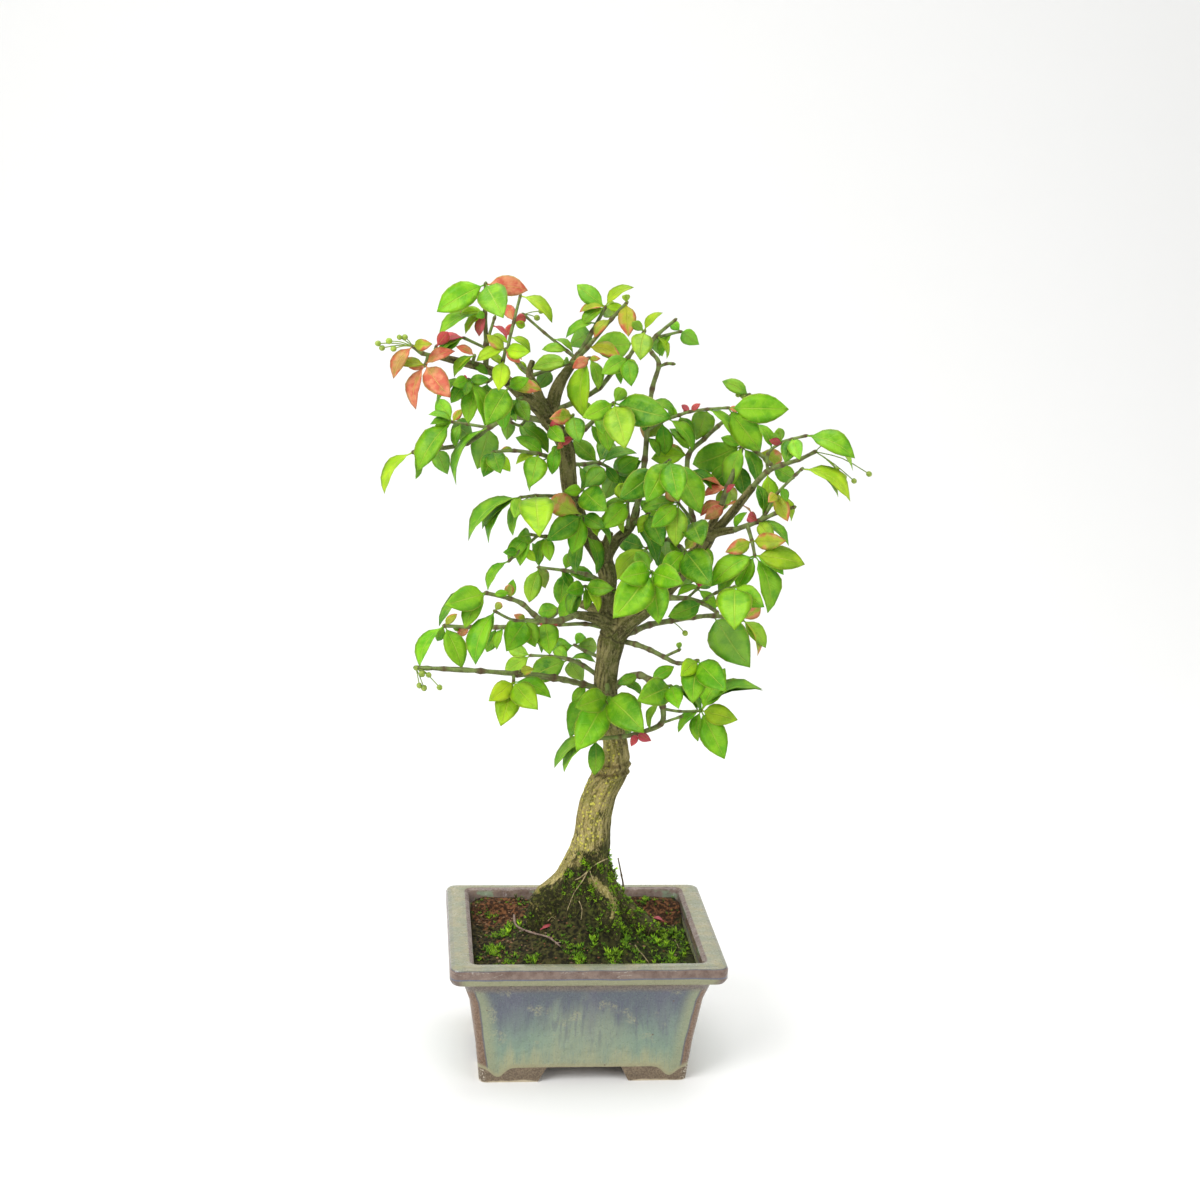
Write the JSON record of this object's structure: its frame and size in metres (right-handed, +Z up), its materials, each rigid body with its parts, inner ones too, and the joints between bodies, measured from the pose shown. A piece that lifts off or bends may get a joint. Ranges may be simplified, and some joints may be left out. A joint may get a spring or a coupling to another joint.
{
  "type": "winged euonymus bonsai",
  "caption": "Small leafy deciduous bonsai tree with flared mossy roots in a rectangular footed glazed ceramic pot.",
  "frame": {"origin": "bottom centre of the whole object's bounding box, on the table plane under the pot's feet; the pot's own centre is 12.8 mm towards -X and 6.0 mm towards +Y of it, because the crown reaches further to the right and front", "axes": "+Z up, the object's longest extent; +X to the viewer's right along the pot's long side; +Y away from the viewer, so the front of the tree faces -Y"},
  "size_m": [0.2622, 0.132, 0.4366],
  "materials": {
    "celadon_glaze": "streaked grey-green and slate-blue glaze, bare brown feet",
    "screen_plastic": "black mesh",
    "mossy_soil": "dark damp potting soil with moss, matt",
    "leaf_salmon": "young reddish leaf, soft sheen",
    "leaf_bright_green": "thin living leaf, soft sheen",
    "leaf_yellow_green": "young leaf, soft sheen",
    "leaf_deep_green": "leaf in shade, soft sheen",
    "leaf_pale_green": "leaf underside, matt",
    "bark": "rough, cracked bark with lichen",
    "dry_straw": "dry, matt",
    "leaf_red": "turned leaf, matt"
  },
  "bodies": {
    "root": {"pot": "celadon_glaze", "drain_screen_left": "screen_plastic", "drain_screen_right": "screen_plastic", "soil": "mossy_soil", "spray_top_left_tip": "leaf_salmon", "spray_top_left_pair": "leaf_bright_green", "spray_top_middle_front": "leaf_yellow_green", "spray_top_left_droop": "leaf_bright_green", "spray_top_left_under": "leaf_deep_green", "spray_top_left_broad": "leaf_bright_green", "spray_top_left_inner": "leaf_deep_green", "spray_top_back_upright": "leaf_yellow_green", "spray_top_cross": "leaf_yellow_green", "spray_top_right_back": "leaf_pale_green", "spray_top_upright_left": "leaf_bright_green", "spray_top_upright_right": "leaf_pale_green", "spray_top_small_branch": "leaf_pale_green", "spray_top_middle_rosette": "leaf_bright_green", "spray_leader_top_front": "leaf_bright_green", "spray_leader_front": "leaf_bright_green", "spray_leader_right_front": "leaf_deep_green", "spray_right_upright": "leaf_bright_green", "spray_right_back_upright": "leaf_yellow_green", "spray_inner_back_high": "leaf_deep_green", "spray_inner_back_low": "leaf_deep_green", "spray_middle_front_broad": "leaf_bright_green", "spray_right_fork_front": "leaf_deep_green", "spray_middle_front_pair": "leaf_bright_green", "spray_middle_inner": "leaf_deep_green", "spray_leader_right_broad": "leaf_deep_green", "spray_leader_low_front": "leaf_deep_green", "spray_left_middle": "leaf_deep_green", "spray_left_orange": "leaf_bright_green", "spray_left_back_long": "leaf_bright_green", "spray_left_hanging": "leaf_bright_green", "spray_left_back_small": "leaf_deep_green", "spray_leader_base_front": "leaf_bright_green", "spray_front_rosette": "leaf_bright_green", "spray_right_inner_broad": "leaf_deep_green", "spray_right_back_rosette": "leaf_bright_green", "spray_right_low_red": "leaf_salmon", "spray_right_tip": "leaf_pale_green", "spray_right_low_tip": "leaf_bright_green", "spray_right_low_drop": "leaf_bright_green", "spray_right_low_back": "leaf_deep_green", "spray_right_low_front": "leaf_bright_green", "spray_low_arch": "leaf_bright_green", "spray_low_back_right": "leaf_deep_green", "spray_trunk_front_rosette": "leaf_bright_green", "spray_winged_branch": "leaf_yellow_green", "spray_low_left_front": "leaf_bright_green", "spray_low_left_back": "leaf_bright_green", "spray_low_left_broad": "leaf_bright_green", "spray_low_left_dark": "leaf_pale_green", "spray_low_left_curl": "leaf_deep_green", "trunk": "bark", "dead_twig": "dry_straw", "dry_stalk": "dry_straw", "fallen_leaf_left": "leaf_red", "fallen_leaf_right": "leaf_red"}
  },
  "joints": []
}
